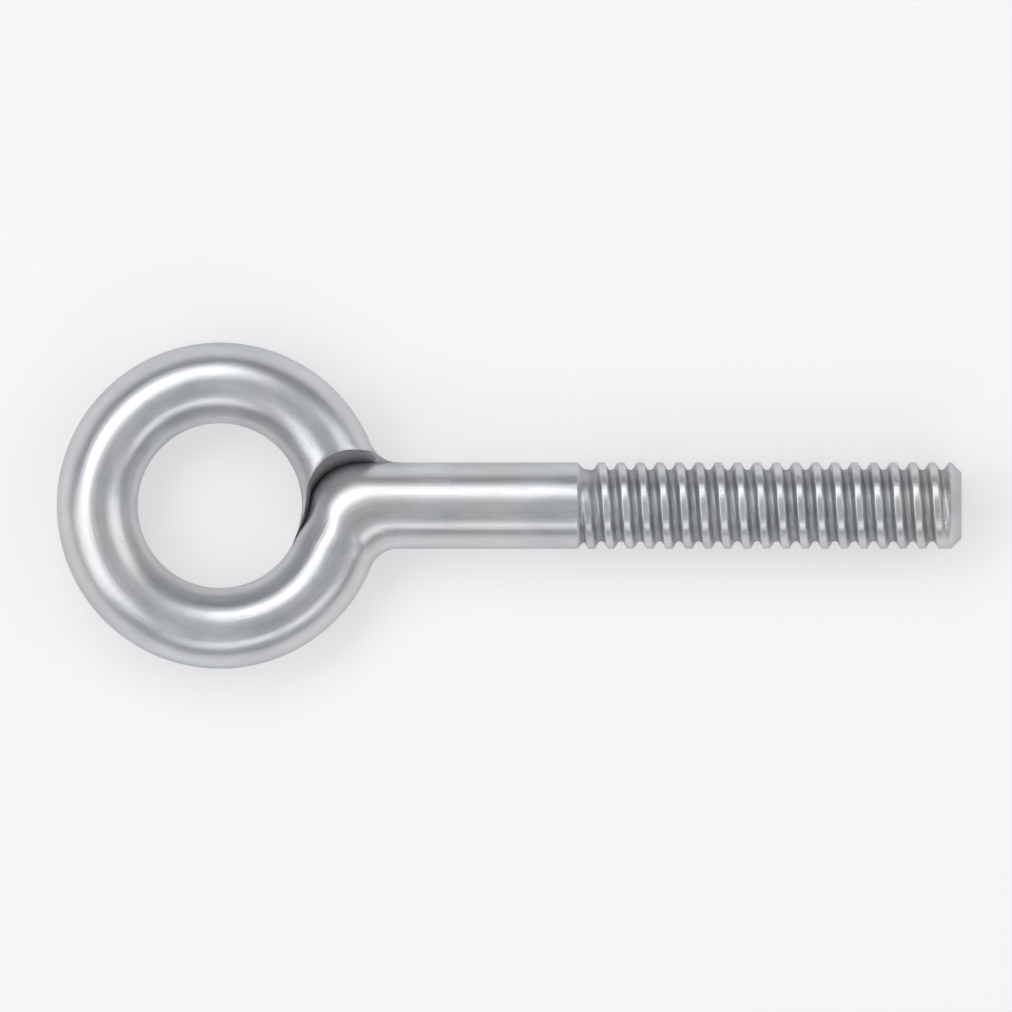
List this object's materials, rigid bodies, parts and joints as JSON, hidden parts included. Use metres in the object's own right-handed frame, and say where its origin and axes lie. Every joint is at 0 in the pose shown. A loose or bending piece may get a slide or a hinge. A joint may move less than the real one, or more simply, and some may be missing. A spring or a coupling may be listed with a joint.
{
  "type": "screw eye",
  "caption": "Bent-wire screw eye: a straight shank with a right-hand machine thread, bent at its neck into a closed round eye whose cut end is bevelled against the neck.",
  "frame": {"origin": "centre of the eye, in the middle plane of the wire", "axes": "+X from the eye along the shank to the threaded end, +Z through the eye, square to the face that the screw eye lies on"},
  "size_m": [0.0492, 0.0178, 0.0046],
  "materials": {
    "zinc_plated_steel": "bright zinc plate over drawn and rolled steel wire, with a faint blue cast"
  },
  "bodies": {
    "root": {"screw_eye": "zinc_plated_steel"}
  },
  "joints": []
}
